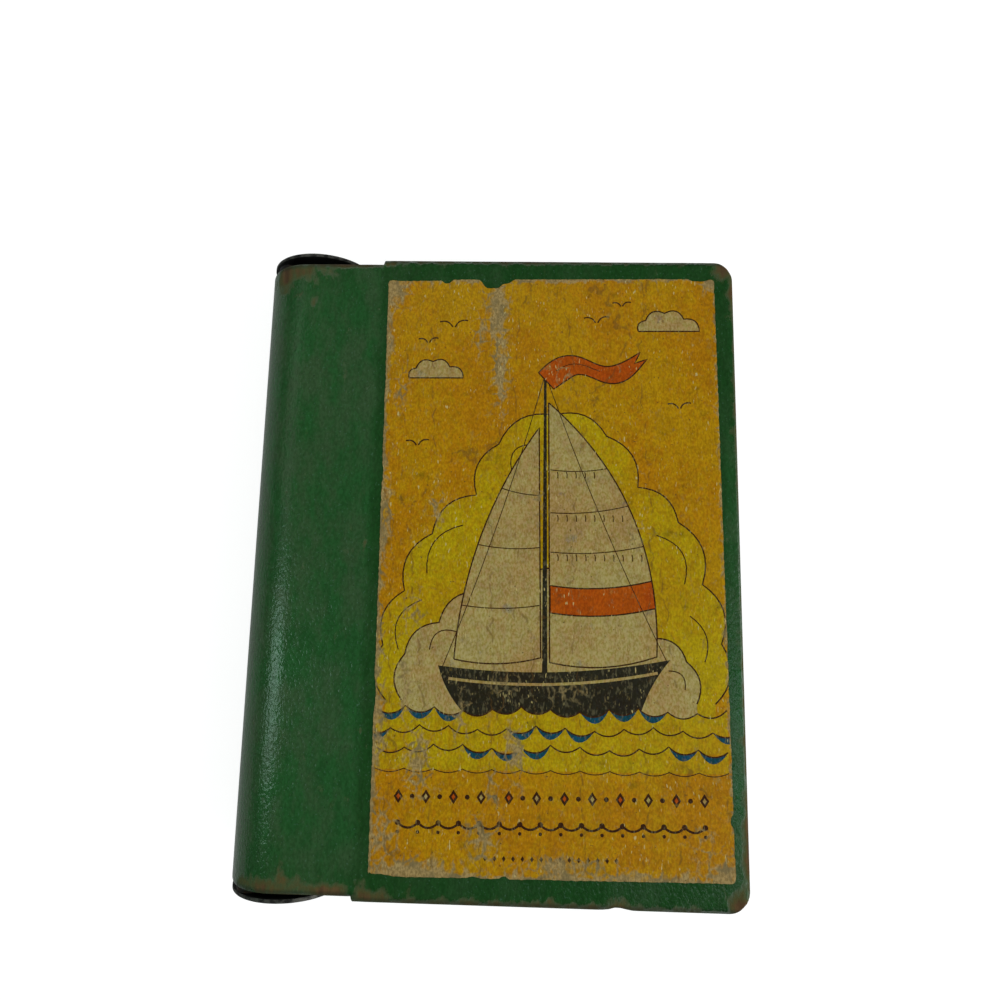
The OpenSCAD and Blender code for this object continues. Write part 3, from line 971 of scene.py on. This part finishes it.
def printed_paper():
    """Dull varnished print: grained ink, rubbed in ragged patches to the tan paper, with cracks and
    specks, and with the varnish's sparkle and glints painted on as highlights.
    """
    finish, tree, paper = new_finish("printed_paper")
    ink = attribute(tree, "ink", "Color")
    rub = attribute(tree, "rub")
    fine = grain(tree, 2200, (1, 0.6, 1), 3.0)
    small = grain(tree, 900, (1, 0.7, 1), 3.0, 0.6, 9.0)
    middling = grain(tree, 420, (1, 0.7, 1), 4.0, 0.6, 2.0)
    broad = grain(tree, 70, (1, 0.6, 1), 3.0, 0.6, 3.0)
    # The ink's hue and depth wander, and it has gone pale or stained in places
    golden = scaled(tree, ink, (1.04, 1.13, 1.2))
    orange = scaled(tree, ink, (1.00, 0.86, 0.9))
    hue = sums(tree, "MULTIPLY_ADD", small, 0.45, sums(tree, "MULTIPLY", broad, 0.55))
    colour = mix_colour(tree, soft_step(tree, hue, 0.4, 0.6), golden, orange)
    dusky = scaled(tree, colour, (0.86, 0.84, 0.9))
    colour = mix_colour(tree, soft_step(tree, middling, 0.38, 0.68), colour, dusky)
    dim = scaled(tree, colour, (0.84, 0.82, 0.7))
    bright = scaled(tree, colour, (1.16, 1.18, 1.7))
    colour = mix_colour(tree, soft_step(tree, fine, 0.34, 0.66), dim, bright)
    pale = soft_step(tree, grain(tree, 380, (1, 0.6, 1), 5.0, 0.65, 19.0), 0.61, 0.74, 0.0, 0.55)
    colour = mix_colour(tree, pale, colour, PALE_INK)
    stain = soft_step(tree, grain(tree, 240, detail=4.0, rough=0.6, shift=11.0), 0.6, 0.74, 0.0, 0.65)
    colour = mix_colour(tree, stain, colour, scaled(tree, colour, (0.5, 0.56, 1.3)))
    # Ink flakes off in cells and ragged patches where it is rubbed, down to the grimy paper
    links = {"Vector": stretched(tree), "Scale": 260.0}
    wander = shader_node(tree, "ShaderNodeTexNoise", links).outputs["Color"]
    bent = scaled(tree, wander, (0.0025,) * 3)
    flakes = edge_distance(tree, bent, (1, 0.8, 1), 420.0)
    ragged = grain(tree, 850, (1, 0.6, 1), 6.0, 0.7, 6.0)
    broken = sums(tree, "MULTIPLY_ADD", ragged, 1.3, sums(tree, "ADD", rub, -0.72))
    broken = sums(tree, "ADD", broken, soft_step(tree, flakes, 0.2, 0.0, 0.0, 0.34))
    bare = soft_step(tree, broken, 0.28, 0.74, 0.0, 0.95)
    tan = mix_colour(tree, soft_step(tree, fine, 0.36, 0.64), *PAPER)
    grime = soft_step(tree, grain(tree, 330, detail=4.0, shift=12.0), 0.44, 0.66, 0.0, 0.8)
    tan = mix_colour(tree, grime, tan, PAPER_GRIME)
    colour = mix_colour(tree, bare, colour, tan)
    # Painted highlights: the varnish's sparkle as flecks on dark ink, and its glints over the whole
    # sheet. Then cracks and specks
    dark_ink = soft_step(tree, shader_node(tree, "ShaderNodeRGBToBW", {0: ink}).outputs[0], 0.1, 0.04)
    flecks = soft_step(tree, grain(tree, 1500, (1, 0.4, 1), 2.0, shift=21.0), 0.54, 0.68, 0.0, 0.5)
    colour = mix_colour(tree, sums(tree, "MULTIPLY", flecks, dark_ink), colour, PAINTED_INK_SPARKLE)
    painted_glint = soft_step(tree, grain(tree, 2300, (1, 0.3, 1), 1.0, shift=13.0), 0.66, 0.76)
    patch = soft_step(tree, grain(tree, 160, (1, 0.5, 1), 2.0, shift=15.0), 0.46, 0.6, 0.2, 0.9)
    colour = mix_colour(tree, sums(tree, "MULTIPLY", painted_glint, patch), colour, PAINTED_GLINT)
    crack = soft_step(tree, edge_distance(tree, bent, (1, 0.15, 1), 62.0), 0.012, 0.004)
    crack = sums(tree, "MULTIPLY", crack, soft_step(tree, middling, 0.44, 0.58, 0.0, 0.45))
    colour = mix_colour(tree, crack, colour, CRACK)
    speck = soft_step(tree, grain(tree, 1300, detail=1.0, shift=17.0), 0.735, 0.78, 0.0, 0.7)
    colour = mix_colour(tree, speck, colour, SPECK)
    height = sums(tree, "MULTIPLY_ADD", bare, -0.8, sums(tree, "ADD", fine, middling))
    connect(tree, paper, {
        "Base Color": colour,
        "Roughness": soft_step(tree, bare, 0.0, 1.0, 0.48, 0.75),
        "Specular IOR Level": PAPER_SPECULAR,
        "Normal": rough_skin(tree, height, 0.05, 0.8),
    })
    return finish


label = bpy.data.objects.new("printed_label", label_sheet())
bpy.context.collection.objects.link(label)
label.data.materials.append(printed_paper())
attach(label, "front")
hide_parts("cover_label")


# The end discs
# Each is punched from thin sheet steel and painted black. The paint is scuffed, and worn off the
# rim. The two discs carry the boards on two nails each.
BLACK_PAINT = ((0.003, 0.0032, 0.0028), (0.007, 0.0075, 0.0065))
WORN_STEEL = (0.06, 0.06, 0.052)
STEEL_SPECULAR = 0.15
# The wear of the rim starts at this share of the radius
RIM = 0.975


def painted_steel():
    """Black paint on steel, scuffed, and thin at the rim by the distance from the disc's axis."""
    finish, tree, metal = new_finish("black_sheet_steel")
    place = shader_node(tree, "ShaderNodeTexCoord").outputs["Object"]
    axis = (disc_x * MM, 0, middle_z * MM)
    off = shader_node(tree, "ShaderNodeVectorMath", {0: place, 1: axis}, operation="SUBTRACT")
    flat = scaled(tree, off.outputs[0], (1, 0, 1))
    reach = shader_node(tree, "ShaderNodeVectorMath", {0: flat}, operation="LENGTH").outputs["Value"]
    spots = grain(tree, 900, detail=5.0)
    broad = grain(tree, 160, detail=3.0, shift=2.0)
    rim = soft_step(tree, reach, RIM * disc_r * MM, disc_r * MM)
    wear = soft_step(tree, sums(tree, "ADD", rim, spots), 1.38, 1.62)
    wear = sums(tree, "MAXIMUM", wear, soft_step(tree, spots, 0.68, 0.74, 0.0, 0.6))
    colour = mix_colour(tree, soft_step(tree, broad, 0.4, 0.65), *BLACK_PAINT)
    colour = mix_colour(tree, wear, colour, WORN_STEEL)
    connect(tree, metal, {
        "Base Color": colour,
        "Metallic": sums(tree, "MULTIPLY", wear, 0.5),
        "Roughness": soft_step(tree, broad, 0.3, 0.7, 0.42, 0.6),
        "Specular IOR Level": STEEL_SPECULAR,
        "Normal": rough_skin(tree, spots, 0.03, 0.7),
    })
    return finish


def dress(names, finish):
    """Puts a finish on CAD nodes in place of their plain one."""
    for name in names:
        for slot in frame["nodes"][name].material_slots:
            slot.material = finish


dress(["top_disc", "bottom_disc"], painted_steel())


# The pivot nails and their washers
# The nails are plain steel with domed heads, gone dark, driven through the discs into the end grain.
# A washer on each of them holds the disc off the wood. The washers' near-black colour is painted
# shade: it keeps them as dark as the shaded gap between disc and wood.
NAIL_STEEL = ((0.03, 0.028, 0.025), (0.11, 0.105, 0.1))
# The washers' near-black steel is painted shade of the gap round them
SHADE_DARK_WASHER_STEEL = ((0.004, 0.0038, 0.0035), (0.014, 0.013, 0.012))
RUST = (0.06, 0.028, 0.012)
NAIL_ROUGHNESS = 0.42
WASHER_ROUGHNESS = 0.6
TARNISHED = 0.8


def bare_metal(name, dark, pale, roughness):
    """Tarnished steel: dark and pale in spots, with rust in broad patches."""
    finish, tree, metal = new_finish(name)
    spots = grain(tree, 1200, detail=5.0, shift=1.0)
    broad = grain(tree, 300, detail=3.0, shift=6.0)
    colour = mix_colour(tree, soft_step(tree, spots, 0.35, 0.65), dark, pale)
    colour = mix_colour(tree, soft_step(tree, broad, 0.52, 0.68, 0.0, 0.6), colour, RUST)
    dulled = soft_step(tree, broad, 0.3, 0.7, roughness - 0.08, roughness + 0.12)
    skin = rough_skin(tree, spots, 0.03, 0.8)
    links = {"Base Color": colour, "Metallic": TARNISHED, "Roughness": dulled, "Normal": skin}
    connect(tree, metal, links)
    return finish


nails = [f"{board}_nail_{end}" for board in ("front", "back") for end in ("top", "bottom")]
dress(nails, bare_metal("dark_steel_nail", *NAIL_STEEL, NAIL_ROUGHNESS))
# Washers in near-black steel: painted shade
washers = [nail.replace("nail", "washer") for nail in nails]
dress(washers, bare_metal("bare_steel_washer", *SHADE_DARK_WASHER_STEEL, WASHER_ROUGHNESS))
